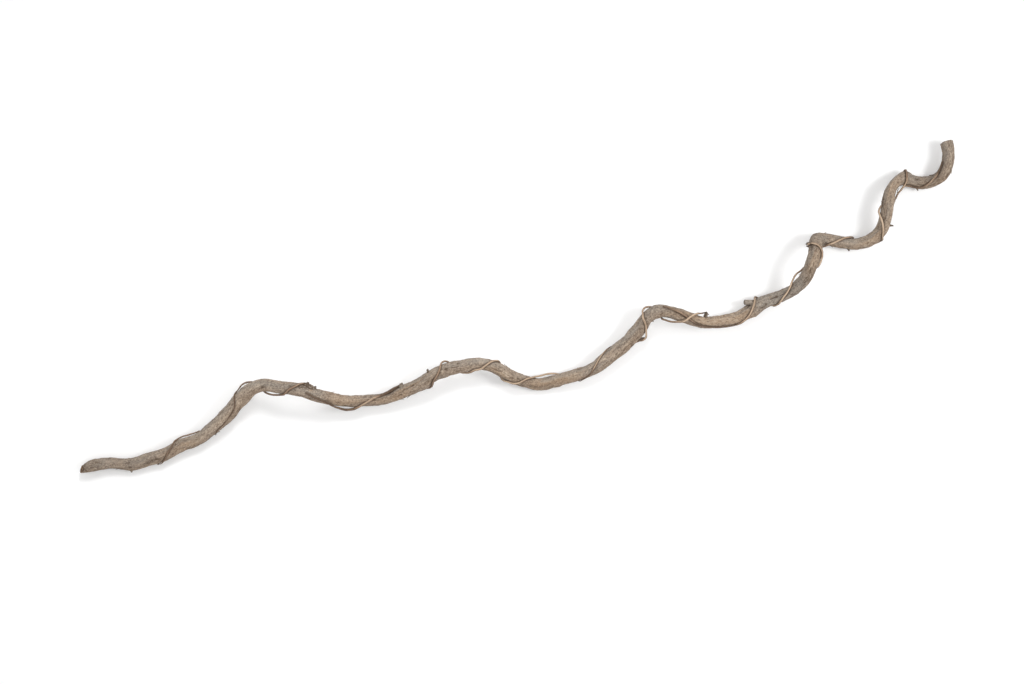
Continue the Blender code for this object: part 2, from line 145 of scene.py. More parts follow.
# Routes of the vines in millimetres and degrees: X, angle round the stem, lift off the bark.
# An angle that grows past 360 degrees is the vine's next turn round the stem.
VINES = {
    "vine_butt": (
        (-838, -100, 0), (-826, -62, 0), (-809, 2, 0), (-797, 26, 0), (-788, 58, 0),
        (-781, 84, 0.3), (-774, 90, 1.7), (-764, 90, 1.4), (-748, 92, 1.2), (-733, 104, 0),
        (-722, 150, 0), (-715, 200, 0), (-706, 265, 0), (-700, 304, 0), (-683, 315, 0),
        (-664, 328, 0), (-650, 340, 0), (-641, 346, 0), (-632, 372, 0), (-626, 404, 0),
        (-619, 436, 0), (-611, 448, 0.8), (-604, 452, 3.2), (-598, 460, 4.0), (-592, 472, 3.0),
        (-583, 504, 0), (-574, 560, 0), (-566, 610, 0), (-558, 626, 1.5), (-549, 630, 3.0),
        (-540, 630, 2.8), (-532, 634, 1.0), (-522, 662, 0), (-511, 716, 0), (-503, 742, 0),
        (-498, 764, 0), (-491, 792, 0),
    ),
    "vine_dip": (
        (-484, -8, 0), (-470, -24, 0), (-453, -40, 0), (-439, -62, 0), (-428, -84, 0),
        (-421, -90, 1.0), (-412, -92, 2.4), (-403, -90, 1.8), (-395, -76, 0.2), (-374, -22, 0),
        (-359, 10, 0), (-345, 38, 0), (-328, 58, 0), (-311, 70, 0), (-303, 73, 0),
        (-295, 74, 0), (-287, 75, 0),
    ),
    "vine_tip": (
        (296, 38, 0), (310, 29, 0), (322, 18, 0), (333, 4, 0), (345, -16, 0), (353, -30, 0),
        (370, -42, 0), (388, -60, 0), (408, -74, 0), (430, -70, 0), (450, -44, 0),
        (466, -20, 0), (477, 4, 0.5), (488, 35, 2), (497, 84, 1.5), (504, 142, 0.5),
        (512, 196, 0), (521, 236, 0), (529, 266, 0), (536, 290, 0), (543, 320, 0),
        (550, 334, 0), (558, 350, 0), (566, 364, 0), (573, 384, 0), (581, 408, 0),
        (587, 438, 1.7), (595, 448, 5.0), (603, 455, 4.8), (609, 465, 1.4), (614, 492, 0),
        (618, 530, 0), (622, 580, 0), (626, 625, 0), (634, 648, 0.5),
        (642, 660, 0), (646, 690, 0), (648, 720, 0), (649, 750, 0), (651, 785, 1),
        (655, 830, 1), (662, 890, 0), (670, 950, 0), (678, 1000, 0), (685, 1030, 0),
        (696, 1066, 0), (706, 1096, 0), (713, 1116, 0), (721, 1134, 0), (729, 1168, 0),
        (735, 1230, 0), (742, 1288, 0), (751, 1300, 0), (762, 1304, 0), (774, 1308, 0),
        (782, 1332, 0), (787, 1362, 0), (792, 1396, 0), (798, 1422, 0), (805, 1444, 0), (811, 1468, 0),
        (816, 1502, 0.4), (820, 1528, 1.2), (825, 1556, 0.4), (830, 1604, 0), (835, 1660, 0),
        (840, 1698, 0), (846, 1708, 1.0), (853, 1710, 2.2), (861, 1711, 2.6), (869, 1716, 1.4),
        (875, 1734, 0), (879, 1782, 0), (883, 1822, 0), (886, 1862, 0.4), (888, 1900, 0.6), (889, 1940, 0),
        (890, 1995, 0), (892, 2060, 0), (896, 2094, 0), (904, 2104, 0), (912, 2108, 0),
        (925, 2124, 0), (938, 2148, 0), (953, 2176, 0), (964, 2200, 0), (974, 2216, 0),
        (983, 2224, 0),
    ),
    "vine_middle": (
        (-262, -150, 0), (-250, -126, 0), (-240, -104, 0), (-232, -84, 0), (-222, -52, 0),
        (-211, -24, 0), (-203, -2, 0), (-195, 38, 0), (-190, 78, 0.9), (-184, 96, 3.6),
        (-178, 112, 2.0), (-171, 152, 0),
        (-159, 210, 0), (-145, 268, 0), (-130, 308, 0), (-110, 318, 0), (-100, 356, 0),
        (-93, 396, 0), (-88, 428, 0), (-82, 468, 0), (-75, 540, 0), (-68, 606, 0),
        (-61, 646, 0), (-54, 658, 0), (-50, 684, 0), (-41, 728, 0), (-30, 762, 0.5),
        (-13, 796, 3), (8, 806, 4.5), (24, 816, 2.5), (36, 848, 0), (50, 880, 0),
        (62, 912, 0), (73, 955, 0), (80, 988, 0), (87, 1014, 0), (100, 1040, 0),
        (110, 1070, 0), (122, 1100, 0), (133, 1120, 0), (147, 1138, 0), (158, 1156, 0),
        (168, 1180, 0), (180, 1216, 0), (192, 1256, 0), (205, 1300, 0), (221, 1344, 2),
        (231, 1364, 5), (240, 1388, 1), (250, 1418, 0), (256, 1458, 0), (260, 1498, 0),
        (262, 1524, 2.5), (266, 1532, 4.5), (271, 1540, 2), (277, 1570, 0), (284, 1630, 0),
        (291, 1694, 0), (298, 1708, 1.5), (307, 1710, 4.0), (316, 1714, 4.4), (324, 1728, 2.5),
        (331, 1758, 3), (339, 1804, 5), (348, 1842, 3.4), (358, 1876, 3.6), (366, 1888, 6),
        (372, 1892, 7), (377, 1896, 5.4), (381, 1898, 3),
    ),
}

# Faces round the stem and along it
STEM_SIDES = 84
STEM_RINGS = 1100
# The bark's grain turns by this many radians a metre, and its fine relief stays between two heights
BARK_TWIST = 2.4
RELIEF_TOP = 1.0 * MM
RELIEF_FLOOR = -2.2 * MM

# Small pits that the bark has all along: number, then radius and depth in millimetres
PIT_COUNT = 110
PIT_RADIUS = (1.2, 2.6)
PIT_DEPTH = (0.5, 1.4)
SEED = 7

# Swellings that part.py leaves out, and hollows where the height is below zero, laid out like the knots
BURLS = (
    (-896, -84, 1.9, 9, 28), (-487, 80, 6.5, 8, 15), (-477, 78, 4.0, 7, 15), (31, -88, 1.8, 9, 35),
    (-20, -88, 1.2, 9, 35), (477, -88, 1.6, 6, 30), (-620, -92, 2.2, 12, 25), (822, -90, 1.4, 5, 30),
    (834, -92, 1.2, 4, 26), (-412, -92, -2.2, 10, 36), (858, -88, -3.6, 14, 38), (307, -92, -0.8, 10, 34),
    (-245, -80, 1.2, 8, 30), (171, 84, 1.2, 10, 30), (-865, 80, 1.2, 12, 40), (-826, 84, 1.0, 9, 34),
    (-300, 84, 1.6, 9, 24), (-330, 80, 1.0, 10, 24), (650, 60, 1.0, 6, 30), (663, 82, 2.6, 7, 30),
)

# Longer marks in the bark: X, angle, half length, half width in millimetres, depth
SCARS = (
    (236, -8, 5, 2.4, 1.3), (185, 22, 14, 1.4, 0.9), (203, 6, 12, 1.3, 0.8), (322, 12, 16, 1.4, 1.3),
    (333, -10, 12, 1.3, 1.2), (-845, -22, 12, 1.5, 1.6), (-864, -38, 9, 1.6, 1.5),
    (-160, 32, 4, 1.8, 1.5), (-186, 6, 4, 1.6, 1.3), (647, 56, 5, 2.6, 2.0), (671, -56, 6, 2.4, 1.6),
    (-496, 30, 12, 1.6, 1.5), (-481, 50, 9, 1.8, 1.6), (819, 12, 8, 1.6, 1.2), (829, 74, 5, 2.4, 1.6),
    (906, 26, 8, 1.8, 1.3), (536, 12, 10, 1.5, 1.2), (-898, -28, 6, 1.8, 1.4), (-300, 80, 7, 2.0, 1.4),
    (-8, -22, 14, 1.2, 0.9), (-650, 16, 16, 1.2, 0.9), (-415, -14, 14, 1.2, 0.9),
    (110, 10, 15, 1.2, 1.0), (430, 20, 14, 1.2, 0.8), (760, 18, 12, 1.2, 0.9), (-560, -8, 14, 1.2, 0.9),
)
# Areas of the bark with weathered tone, and pale and dark ones that are partly painted light: X, angle,
# half length, half width in degrees, strength
WARM_AREAS = (
    (-767, -18, 30, 50, 0.8), (-669, -18, 30, 40, 0.6), (-507, -16, 20, 40, 0.6),
    (-417, 4, 34, 60, 1.0), (-294, -4, 26, 50, 0.6), (-77, -22, 22, 45, 0.8),
    (-10, 10, 34, 60, 0.9), (45, -8, 30, 50, 0.8), (73, 14, 20, 50, 0.5),
    (357, 28, 30, 50, 0.8), (400, 4, 42, 70, 0.9), (440, 0, 30, 60, 0.8), (714, -8, 22, 50, 0.5),
    (767, -6, 34, 60, 0.9), (843, -6, 26, 50, 0.8), (640, -16, 24, 60, 0.6),
)
COOL_AREAS = (
    (-958, 20, 40, 50, 0.8), (-872, 16, 40, 50, 0.6), (-716, 22, 40, 40, 0.6),
    (-650, 30, 34, 40, 0.6), (-577, 38, 26, 40, 0.9), (-539, 14, 30, 50, 0.9),
    (-493, 20, 26, 50, 1.0), (-468, 42, 20, 40, 0.8), (-167, 36, 34, 40, 0.9),
    (-113, 38, 30, 50, 0.9), (-42, 44, 26, 40, 0.6), (64, 58, 34, 36, 0.8), (111, 42, 34, 40, 0.8),
    (204, 34, 40, 40, 0.8), (292, 46, 24, 50, 0.9), (513, 16, 34, 80, 1.3), (552, 22, 34, 80, 1.4),
    (592, 34, 20, 60, 1.1), (663, -8, 18, 60, 0.9), (713, 24, 26, 50, 0.9), (827, -10, 16, 60, 0.5),
    (899, 16, 22, 50, 0.8), (994, 34, 16, 70, 0.8),
)
# Pale patches of the bark, and painted highlights on the upper edges of crests
PALE_AND_HIGHLIGHT_AREAS = (
    (-573, 6, 7, 22, 0.9), (-622, -14, 8, 20, 0.9), (-769, -26, 12, 16, 0.6),
    (-199, 2, 9, 18, 0.8), (-219, 8, 8, 14, 0.7), (-69, -12, 9, 20, 0.9), (-77, 6, 7, 14, 0.7),
    (141, 20, 6, 16, 1.0), (167, -16, 8, 14, 0.9), (153, -4, 5, 12, 0.7), (-110, 54, 10, 20, 0.9),
    (294, 36, 12, 24, 0.6), (635, -18, 7, 18, 0.8), (628, 4, 6, 14, 0.7), (769, -20, 14, 20, 0.7),
    (990, -12, 5, 12, 0.9), (979, -22, 6, 16, 0.9), (801, -42, 7, 18, 0.7), (860, 22, 8, 18, 0.7),
    (431, -18, 12, 14, 0.6), (345, -2, 30, 50, 0.45), (405, 8, 36, 50, 0.45), (-735, 0, 40, 50, 0.4),
    (-685, 0, 30, 50, 0.45), (-625, 10, 24, 50, 0.3), (740, 0, 36, 50, 0.25),
    (-477, 22, 8, 14, 0.8), (-547, -24, 8, 16, 0.6), (12, -30, 10, 14, 0.5),
)
# Dark marks of the bark, and painted shade: shadow under raised bark edges, beside a vine arc and in a
# shadowed band by the flakes, and broad painted shade over the tip and the crest by the corner
DARK_MARK_AND_SHADE_AREAS = (
    (-998, -4, 8, 90, 0.9), (-964, 24, 10, 12, 0.8), (-845, -24, 14, 14, 0.7), (-864, -40, 12, 14, 0.8),
    (-160, 32, 4, 14, 1.5), (-186, 6, 4, 14, 1.3), (236, -8, 6, 18, 0.8), (185, 22, 14, 10, 0.45),
    (203, 6, 12, 9, 0.4), (-308, 64, 14, 14, 1.0), (-487, 78, 11, 22, 1.6), (-475, 76, 9, 20, 1.4),
    (-250, -66, 9, 12, 0.7), (492, -66, 12, 18, 0.6), (30, -80, 10, 20, 0.5), (-896, -80, 6, 22, 0.7),
    (-880, 84, 26, 22, 0.5), (663, 80, 8, 20, 0.6), (955, 10, 44, 120, 0.35), (-985, 0, 30, 120, 0.3),
    (322, 12, 18, 12, 0.8), (333, -10, 14, 12, 0.8), (628, 10, 34, 70, 0.3), (647, 56, 6, 24, 1.0),
    (671, -56, 8, 22, 1.0), (-496, 30, 14, 18, 0.9), (-481, 60, 10, 24, 1.0), (829, 74, 6, 22, 1.0),
    (819, 12, 10, 16, 0.6), (906, 26, 9, 16, 0.8), (536, 12, 12, 12, 0.6), (478, 70, 8, 26, 0.8),
    (-300, 90, 8, 26, 0.8), (-8, -30, 20, 12, 0.5), (-898, -28, 7, 16, 0.7), (650, -70, 12, 26, 0.6),
)

# Cut ends: rings of the face, counted from the rim, as shares of its radius
CUT_SHARES = (0.985, 0.95, 0.90, 0.84, 0.77, 0.70, 0.62, 0.54, 0.46, 0.38, 0.30, 0.23, 0.16, 0.09, 0.04)
CUT_CRACKS = ((0.5, 0.16, 2.2), (2.2, 0.10, 1.6), (3.7, 0.13, 1.9), (5.1, 0.09, 1.3))
CUT_RINGS = 7
# Worn ends: share along the stem, side in degrees, share of the radius lost there, length in mm
WORN_ENDS = (
    (0.0, 70.0, 0.42, 13.0),
    (0.0, -110.0, 0.10, 5.0),
    (1.0, -60.0, 0.06, 4.0),
)
CUT_DEEPEST = 2.6 * MM

TWIG_SIDES = 18
TWIG_STEPS = 14
# Each broken twig: how ragged, hollow and flat its end is, how fast it narrows, and how dark it is
TWIG_FORMS = {
    "butt_nub": (0.8, 0.0, 0.9, 0.8, 0.6),
    "low_nub": (1.0, 0.0, 0.8, 0.8, 0.9),
    "flake_long": (1.6, 0.0, 0.75, 0.7, 2.0),
    "flake_short": (1.6, 0.0, 0.8, 0.8, 2.0),
    "knot_stub": (0.9, 0.4, 1.0, 0.5, 0.4),
    "top_nub": (1.2, 0.0, 0.9, 0.8, 1.2),
    "side_branch": (0.7, 1.2, 1.0, 0.9, 0.0),
    "fork_thorn": (1.4, 0.0, 0.9, 0.7, 0.8),
    "ridge_stub": (1.4, 0.0, 0.8, 1.5, 1.8),
    "corner_stub": (2.0, 0.4, 0.8, 0.9, 0.7),
    "corner_prong": (1.8, 0.0, 0.9, 0.9, 0.9),
    "tip_thorn": (1.6, 0.0, 0.9, 0.9, 2.0),
    "side_knob": (0.8, 0.2, 0.9, 0.9, 1.1),
    "corner_bud": (1.8, 0.0, 0.9, 0.8, 2.0),
}
PLAIN_FORM = (0.5, 0.0, 1.0, 1.0, 0.6)

# Tone of a vine along it: X in millimetres, and from 0, dark, to 1, tan
VINE_TONES = {
    "vine_butt": (
        (-840, 0.15), (-760, 0.35), (-720, 0.2), (-690, 0.25), (-650, 0.1), (-630, 0.05),
        (-600, 0.25), (-540, 0.3), (-490, 0.6),
    ),
    "vine_dip": (
        (-484, 0.05), (-440, 0.1), (-402, 0.1), (-388, 0.75), (-352, 0.75), (-338, 0.05), (-287, 0.0),
    ),
    "vine_middle": (
        (-262, 0.3), (-200, 0.45), (-180, 0.6), (-100, 0.8), (0, 0.8), (55, 0.7), (80, 0.15),
        (105, 0.25), (116, 0.85), (140, 0.7), (158, 0.15), (182, 0.05), (222, 0.3), (245, 0.85),
        (262, 0.6), (280, 0.4), (310, 0.35), (335, 0.95), (362, 0.9), (379, 0.1),
    ),
    "vine_tip": (
        (296, 0.25), (335, 0.45), (350, 0.1), (434, 0.0), (454, 0.8), (505, 0.85), (566, 0.95),
        (584, 0.75), (600, 0.25), (640, 0.85), (664, 0.5), (674, 0.25), (690, 0.9), (730, 0.5),
        (770, 0.9), (812, 0.85), (830, 0.4), (850, 0.3), (870, 0.55), (884, 0.7), (896, 0.1),
        (915, 0.25), (938, 0.75), (950, 0.5), (960, 0.05), (983, 0.0),
    ),
}

# Girth of a vine along it: X in millimetres and share of the usual radius
VINE_GIRTHS = {
    "vine_butt": (
        (-838, 0.85), (-740, 0.75), (-722, 0.5), (-706, 0.42), (-664, 0.42), (-640, 0.52),
        (-622, 0.65), (-608, 0.9), (-560, 1.0), (-510, 1.1), (-491, 1.2),
    ),
    "vine_dip": (
        (-484, 0.8), (-440, 0.9), (-420, 1.4), (-400, 1.4), (-385, 1.0), (-350, 1.1),
        (-330, 1.5), (-310, 1.6), (-298, 1.7), (-287, 1.2),
    ),
    "vine_middle": (
        (-262, 1.0), (60, 0.95), (76, 0.55), (104, 0.6), (114, 0.75), (135, 0.65), (175, 0.5),
        (210, 0.8), (222, 1.0), (381, 1.0),
    ),
    "vine_tip": ((296, 1.1), (345, 1.0), (370, 0.75), (430, 0.75), (455, 1.0), (983, 1.0)),
}

# Flakes of bark that peel: least and most of each size, and the thickness
FLAKE_COUNT = 64
FLAKE_LENGTH = (7.0 * MM, 20.0 * MM)
FLAKE_WIDTH = (2.2 * MM, 4.6 * MM)
FLAKE_LIFT = (0.8 * MM, 2.2 * MM)
FLAKE_THICKNESS = 0.5 * MM
FLAKE_STEPS = 8
FLAKE_SIDES = 4
# Height of a flake's sunk end, and what the flakes keep clear of the stem's ends and of the floor
FLAKE_ROOT = -0.9 * MM
FLAKE_MARGIN = 25.0 * MM
FLAKE_CLEAR = 1.0 * MM

# Lengths round the bark are turned into angles on this arm
PIT_ARM = 13.0 * MM
# The slope of a cut fades out over this length of stem
CUT_FADE = 13.5 * MM
# Rings inside the break of a twig: share of its rim, and depth as a share of the hollow
TWIG_BREAK = ((0.82, 0.3), (0.5, 0.8), (0.2, 1.0))
# How grey the twigs are
TWIG_COOL = 0.9

# Colours as they look on a screen: red, green and blue from 0 to 255
BARK_DEEP = (113, 97, 82)
BARK_MID = (143, 126, 110)
BARK_LIGHT = (162, 146, 129)
BARK_WARM = (156, 131, 105)
BARK_COOL = (138, 135, 129)
BARK_PALE = (194, 178, 159)
BARK_DARK = (76, 61, 49)
CUT_DARK = (84, 66, 52)
CUT_LIGHT = (148, 118, 92)
VINE_DARK = (86, 69, 56)
VINE_MID = (138, 114, 94)
VINE_TAN = (190, 167, 143)
VINE_RED = (110, 86, 68)
VINE_PALE = (204, 185, 164)
BARK_ROUGHNESS = 0.9
BARK_SPECULAR = 0.25
VINE_ROUGHNESS = 0.75
VINE_SPECULAR = 0.3
UP = (0.0, 0.0, 1.0)
# Sides of the world that the painted cool light on the bark and the painted shade on the vines face: the
# bark turns greyer towards the first, the vines redder towards the second
COOL_LIGHT_SIDE = (-0.37, 0.89, 0.27)
SHADE_SIDE = (0.38, -0.91, -0.16)

FLOOR_SIZE = 24.0
FLOOR_DROP = 0.2 * MM
FLOOR_COLOUR = (246, 246, 246)
FLOOR_ROUGHNESS = 0.9
WORLD_COLOUR = (255, 255, 255)
WORLD_STRENGTH = 0.76
# Soft lights in metres: place, what it points at, diameter, watts and the spread in degrees
LIGHTS = (
    ("light_top", (-0.03, 0.01, 6.6), (-0.03, 0.01, 0.0), 2.0, 56.0, 180.0),
    ("light_back", (0.36, 1.50, 2.20), (-0.58, -0.10, 0.0), 0.90, 5.2, 72.0),
    ("light_right", (2.60, -0.80, 3.00), (0.86, -0.36, 0.0), 1.20, 8.3, 62.0),
)
# The photo looks straight down from high above, turned so that the liana rises to the right
CAMERA_PLACE = (-0.03187, 0.01059, 6.0)
CAMERA_TURN = -20.6
CAMERA_LENS = 97.206
CAMERA_SENSOR = 36.0
CAMERA_FAR = 50.0


class Route:
    """A smooth curve through rows of values, as a function of the distance along it."""

    def __init__(self, rows, distances):
        self.rows = np.array(rows, dtype=float)
        self.distances = np.array(distances, dtype=float)
        steps = np.diff(self.distances)[:, None]
        slopes = np.diff(self.rows, axis=0) / steps
        inner = (slopes[:-1] * steps[1:] + slopes[1:] * steps[:-1]) / (steps[:-1] + steps[1:])
        self.slopes = np.vstack((slopes[:1], inner, slopes[-1:]))

    @property
    def length(self):
        return self.distances[-1]

    def locate(self, distance):
        """Return the piece that a distance falls in, the piece's length and the share passed."""
        piece = int(np.clip(np.searchsorted(self.distances, distance) - 1, 0, len(self.rows) - 2))
        span = self.distances[piece + 1] - self.distances[piece]
        return piece, span, (distance - self.distances[piece]) / span

    def at(self, distance):
        piece, span, share = self.locate(distance)
        square = share * share
        cube = square * share
        return (
            (2 * cube - 3 * square + 1) * self.rows[piece]
            + (cube - 2 * square + share) * span * self.slopes[piece]
            + (3 * square - 2 * cube) * self.rows[piece + 1]
            + (cube - square) * span * self.slopes[piece + 1]
        )

    def slope(self, distance):
        piece, span, share = self.locate(distance)
        square = share * share
        return (
            (6 * square - 6 * share) / span * (self.rows[piece] - self.rows[piece + 1])
            + (3 * square - 4 * share + 1) * self.slopes[piece]
            + (3 * square - 2 * share) * self.slopes[piece + 1]
        )


def running_length(points):
    """Distances along a run of points, from zero at the first."""
    steps = np.linalg.norm(np.diff(np.array(points, dtype=float), axis=0), axis=1)
    return np.concatenate(([0.0], np.cumsum(steps)))


def make_stem_route():
    rows = np.array(STEM_ROUTE, dtype=float) * MM
    return Route(rows, running_length(rows[:, :3]))


STEM = make_stem_route()
LOOKUP_STEPS = 2000
LOOKUP = np.linspace(0.0, STEM.length, LOOKUP_STEPS)
LOOKUP_X = np.array([STEM.at(distance)[0] for distance in LOOKUP])


def distance_at_x(x):
    """The stem never turns back along X, so each X is at one distance along it."""
    return float(np.interp(x, LOOKUP_X, LOOKUP))


def stem_axes(distance):
    """Centre, radius and the three directions of the stem: along, to its +Y side, and up."""
    row = STEM.at(distance)
    along = Vector(STEM.slope(distance)[:3]).normalized()
    side = Vector((0.0, 0.0, 1.0)).cross(along).normalized()
    return Vector(row[:3]), row[3], along, side, along.cross(side)


def bark_radius(distance, x, radius, angle):
    """Distance of the bark from the centre line, before the fine relief."""
    share = 1.0
    for count, height, turns, start in BARK_RIDGES:
        share = share + height * np.cos(count * (angle - math.tau * turns * distance) + start)
    for height, waves, start in SWELLS:
        share = share + height * np.sin(math.tau * waves * distance + start)
    knots = 0.0
    for knot_x, knot_angle, peak, half_length, half_width in KNOTS:
        off = (x - knot_x * MM) / (half_length * MM)
        turn = np.cos(angle - math.radians(knot_angle)) - 1.0
        width = math.radians(half_width)
        knots = knots + peak * MM * np.exp(-off * off + 2.0 * turn / (width * width))
    return radius * share + knots


def bark_point(distance, angle, lift=0.0):
    """A point on the bark or lifted off it."""
    centre, radius, _along, side, up = stem_axes(distance)
    reach = float(bark_radius(distance, centre.x, radius, angle)) + lift
    return centre + side * (reach * math.sin(angle)) + up * (reach * math.cos(angle))


def smooth_step(low, high, value):
    share = np.clip((value - low) / (high - low), 0.0, 1.0)
    return share * share * (3.0 - 2.0 * share)


class BarkGrid:
    """The bark as rows of values: one row for each ring along the stem, one column for each side."""

    def __init__(self, rings, sides):
        self.distances = np.linspace(0.0, STEM.length, rings + 1)
        self.angles = math.tau * np.arange(sides) / sides
        self.axes = [stem_axes(distance) for distance in self.distances]
        self.x = np.array([axes[0].x for axes in self.axes])[:, None]
        self.radius = np.array([axes[1] for axes in self.axes])[:, None]
        along = self.distances[:, None]
        self.base = bark_radius(along, self.x, self.radius, self.angles[None, :])
        turns = self.angles[None, :] - BARK_TWIST * along + 0.5 * np.sin(6.0 * along)
        self.cosines = np.cos(turns)
        self.sines = np.sin(turns)

    def noise(self, along, around, seed):
        """Smooth noise: waves a metre along the stem, and how many features go round it."""
        return np.array([
            [noise.noise((seed + distance * along, around * c, around * s)) for c, s in zip(row_c, row_s)]
            for distance, row_c, row_s in zip(self.distances, self.cosines, self.sines)
        ])

    def spot(self, x, angle, half_length, half_width):
        """A soft spot: 1 in its middle, 0 far from it. Lengths in metres, the angle in radians."""
        off = (self.x - x) / half_length
        turn = np.cos(self.angles[None, :] - angle) - 1.0
        return np.exp(-off * off + 2.0 * turn / (half_width * half_width))

    def marked(self, x, angle, half_length, half_width):
        """A soft spot as the tables give it, in millimetres and degrees."""
        return self.spot(x * MM, math.radians(angle), half_length * MM, math.radians(half_width))

    def areas(self, rows):
        total = np.zeros_like(self.base)
        for x, angle, half_length, half_width, strength in rows:
            total += strength * self.marked(x, angle, half_length, half_width)
        return total

    def worn_ends(self):
        """How much of its reach the bark keeps where the ends are worn round."""
        kept = 1.0
        for start, angle, share, fade in WORN_ENDS:
            from_end = np.abs(self.distances[:, None] - start * STEM.length)
            facing = 0.5 + 0.5 * np.cos(self.angles[None, :] - math.radians(angle))
            kept = kept - share * facing * np.exp(-(from_end / (fade * MM)) ** 2)
        return kept

    def relief(self):
        """Height of the fine bark over the plain form, in metres."""
        lumps = self.noise(28.0, 1.7, 3.0)
        ridges = self.noise(24.0, 2.8, 11.0)
        knobs = self.noise(74.0, 2.6, 87.0)
        rough = smooth_step(-0.25, 0.35, self.noise(9.0, 1.0, 31.0))
        furrow = np.exp(-(self.noise(38.0, 4.0, 23.0) / 0.17) ** 2)
        crack = np.exp(-(self.noise(80.0, 7.5, 41.0) / 0.22) ** 2)
        plate = smooth_step(0.02, 0.16, self.noise(58.0, 4.6, 57.0) + 0.35 * self.noise(120.0, 9.0, 59.0))
        grain = self.noise(170.0, 11.0, 71.0)
        height = 0.80 * lumps + 0.60 * ridges + 0.90 * knobs + 0.30 * grain
        height += (0.20 + 0.30 * rough) * plate
        height -= (0.20 + 0.60 * rough) * furrow + (0.15 + 0.30 * rough) * crack
        swell = np.zeros_like(height)
        draw = random.Random(SEED)
        for _ in range(PIT_COUNT):
            x = draw.uniform(STEM_ROUTE[0][0], STEM_ROUTE[-1][0]) * MM
            angle = draw.uniform(-math.pi, math.pi)
            radius = draw.uniform(*PIT_RADIUS) * MM
            depth = draw.uniform(*PIT_DEPTH)
            height -= depth * self.spot(x, angle, 1.3 * radius, radius / PIT_ARM)
        for x, angle, half_length, half_width, depth in SCARS:
            width = half_width * MM / PIT_ARM
            height -= depth * self.spot(x * MM, math.radians(angle), half_length * MM, width)
        for x, angle, peak, half_length, half_width in BURLS:
            swell += peak * MM * self.marked(x, angle, half_length, half_width)
        return np.clip(height * MM, RELIEF_FLOOR, RELIEF_TOP) + swell


class Skin:
    """Vertices and faces with the values that colour them, gathered before they become a mesh."""

    def __init__(self):
        self.points = []
        self.faces = []
        self.values = {name: [] for name in SKIN_VALUES}

    def add(self, points, faces, **values):
        start = len(self.points)
        self.points.extend(points)
        self.faces.extend([tuple(start + corner for corner in face) for face in faces])
        for name, empty in SKIN_VALUES.items():
            given = values.get(name, empty)
            if isinstance(given, (float, tuple)):
                given = [given] * len(points)
            self.values[name].extend(given)

    def to_object(self, name, material):
        data = bpy.data.meshes.new(name)
        data.from_pydata([tuple(point) for point in self.points], [], self.faces)
        face_outward(data)
        data.materials.append(material)
        data.shade_smooth()
        write_values(data, self.values)
        thing = bpy.data.objects.new(name, data)
        bpy.context.scene.collection.objects.link(thing)
        return thing


# Values that each vertex of a skin carries for its material
SKIN_VALUES = {
    "grain": (0.0, 0.0, 0.0),
    "relief": 0.0,
    "warm": 0.0,
    "cool": 0.0,
    "pale": 0.0,
    "dark": 0.0,
    "cut": 0.0,
    # painted contact shade along the vines
    "painted_contact_shade": 0.0,
}


def face_outward(data):
    mesh = bmesh.new()
    mesh.from_mesh(data)
    bmesh.ops.recalc_face_normals(mesh, faces=mesh.faces)
    mesh.to_mesh(data)
    mesh.free()


def write_values(data, values):
    for name, empty in SKIN_VALUES.items():
        kind, field = ("FLOAT_VECTOR", "vector") if isinstance(empty, tuple) else ("FLOAT", "value")
        layer = data.attributes.new(name, kind, "POINT")
        layer.data.foreach_set(field, np.array(values[name], dtype=np.float32).ravel())


def tube_faces(rings, sides, start=0):
    """Faces between rings of vertices that follow each other."""
    faces = []
    for ring in range(rings - 1):
        low = start + ring * sides
        for side in range(sides):
            after = (side + 1) % sides
            faces.append((low + side, low + after, low + sides + after, low + sides + side))
    return faces


def stem_skin(grid):
    """The stem's bark, with its two cut ends."""
    relief = grid.relief()
    reach = (grid.base + relief) * grid.worn_ends()
    areas = {
        "warm": grid.areas(WARM_AREAS),
        "cool": grid.areas(COOL_AREAS),
        "pale": grid.areas(PALE_AND_HIGHLIGHT_AREAS),
        "dark": grid.areas(DARK_MARK_AND_SHADE_AREAS),
    }
    last = len(grid.distances) - 1
    points = []
    grains = []
    for row, (distance, (centre, _radius, along, side, up)) in enumerate(zip(grid.distances, grid.axes)):
        slope = cut_slope(distance)
        for column, angle in enumerate(grid.angles):
            aside = reach[row, column] * math.sin(angle)
            above = reach[row, column] * math.cos(angle)
            shift = slope[0] * aside + slope[1] * above
            point = centre + side * aside + up * above + along * shift
            point.z = max(point.z, 0.0)
            points.append(point)
            grains.append((distance, reach[row, column] * grid.cosines[row, column],
                           reach[row, column] * grid.sines[row, column]))
    sides = len(grid.angles)
    skin = Skin()
    skin.add(
        points, tube_faces(last + 1, sides),
        grain=grains,
        relief=list((relief / MM).ravel()),
        **{name: list(np.clip(area, 0.0, 1.5).ravel()) for name, area in areas.items()},
    )
    add_cut_end(skin, grid, 0, -1.0)
    add_cut_end(skin, grid, last * sides, 1.0)
    return skin


def cut_slope(distance):
    """The slope of the nearer cut, faded out over a short length so that the rings don't cross."""
    butt = max(1.0 - distance / CUT_FADE, 0.0)
    tip = max(1.0 - (STEM.length - distance) / CUT_FADE, 0.0)
    return (
        BUTT_SLOPE[0] * butt + TIP_SLOPE[0] * tip,
        BUTT_SLOPE[1] * butt + TIP_SLOPE[1] * tip,
    )


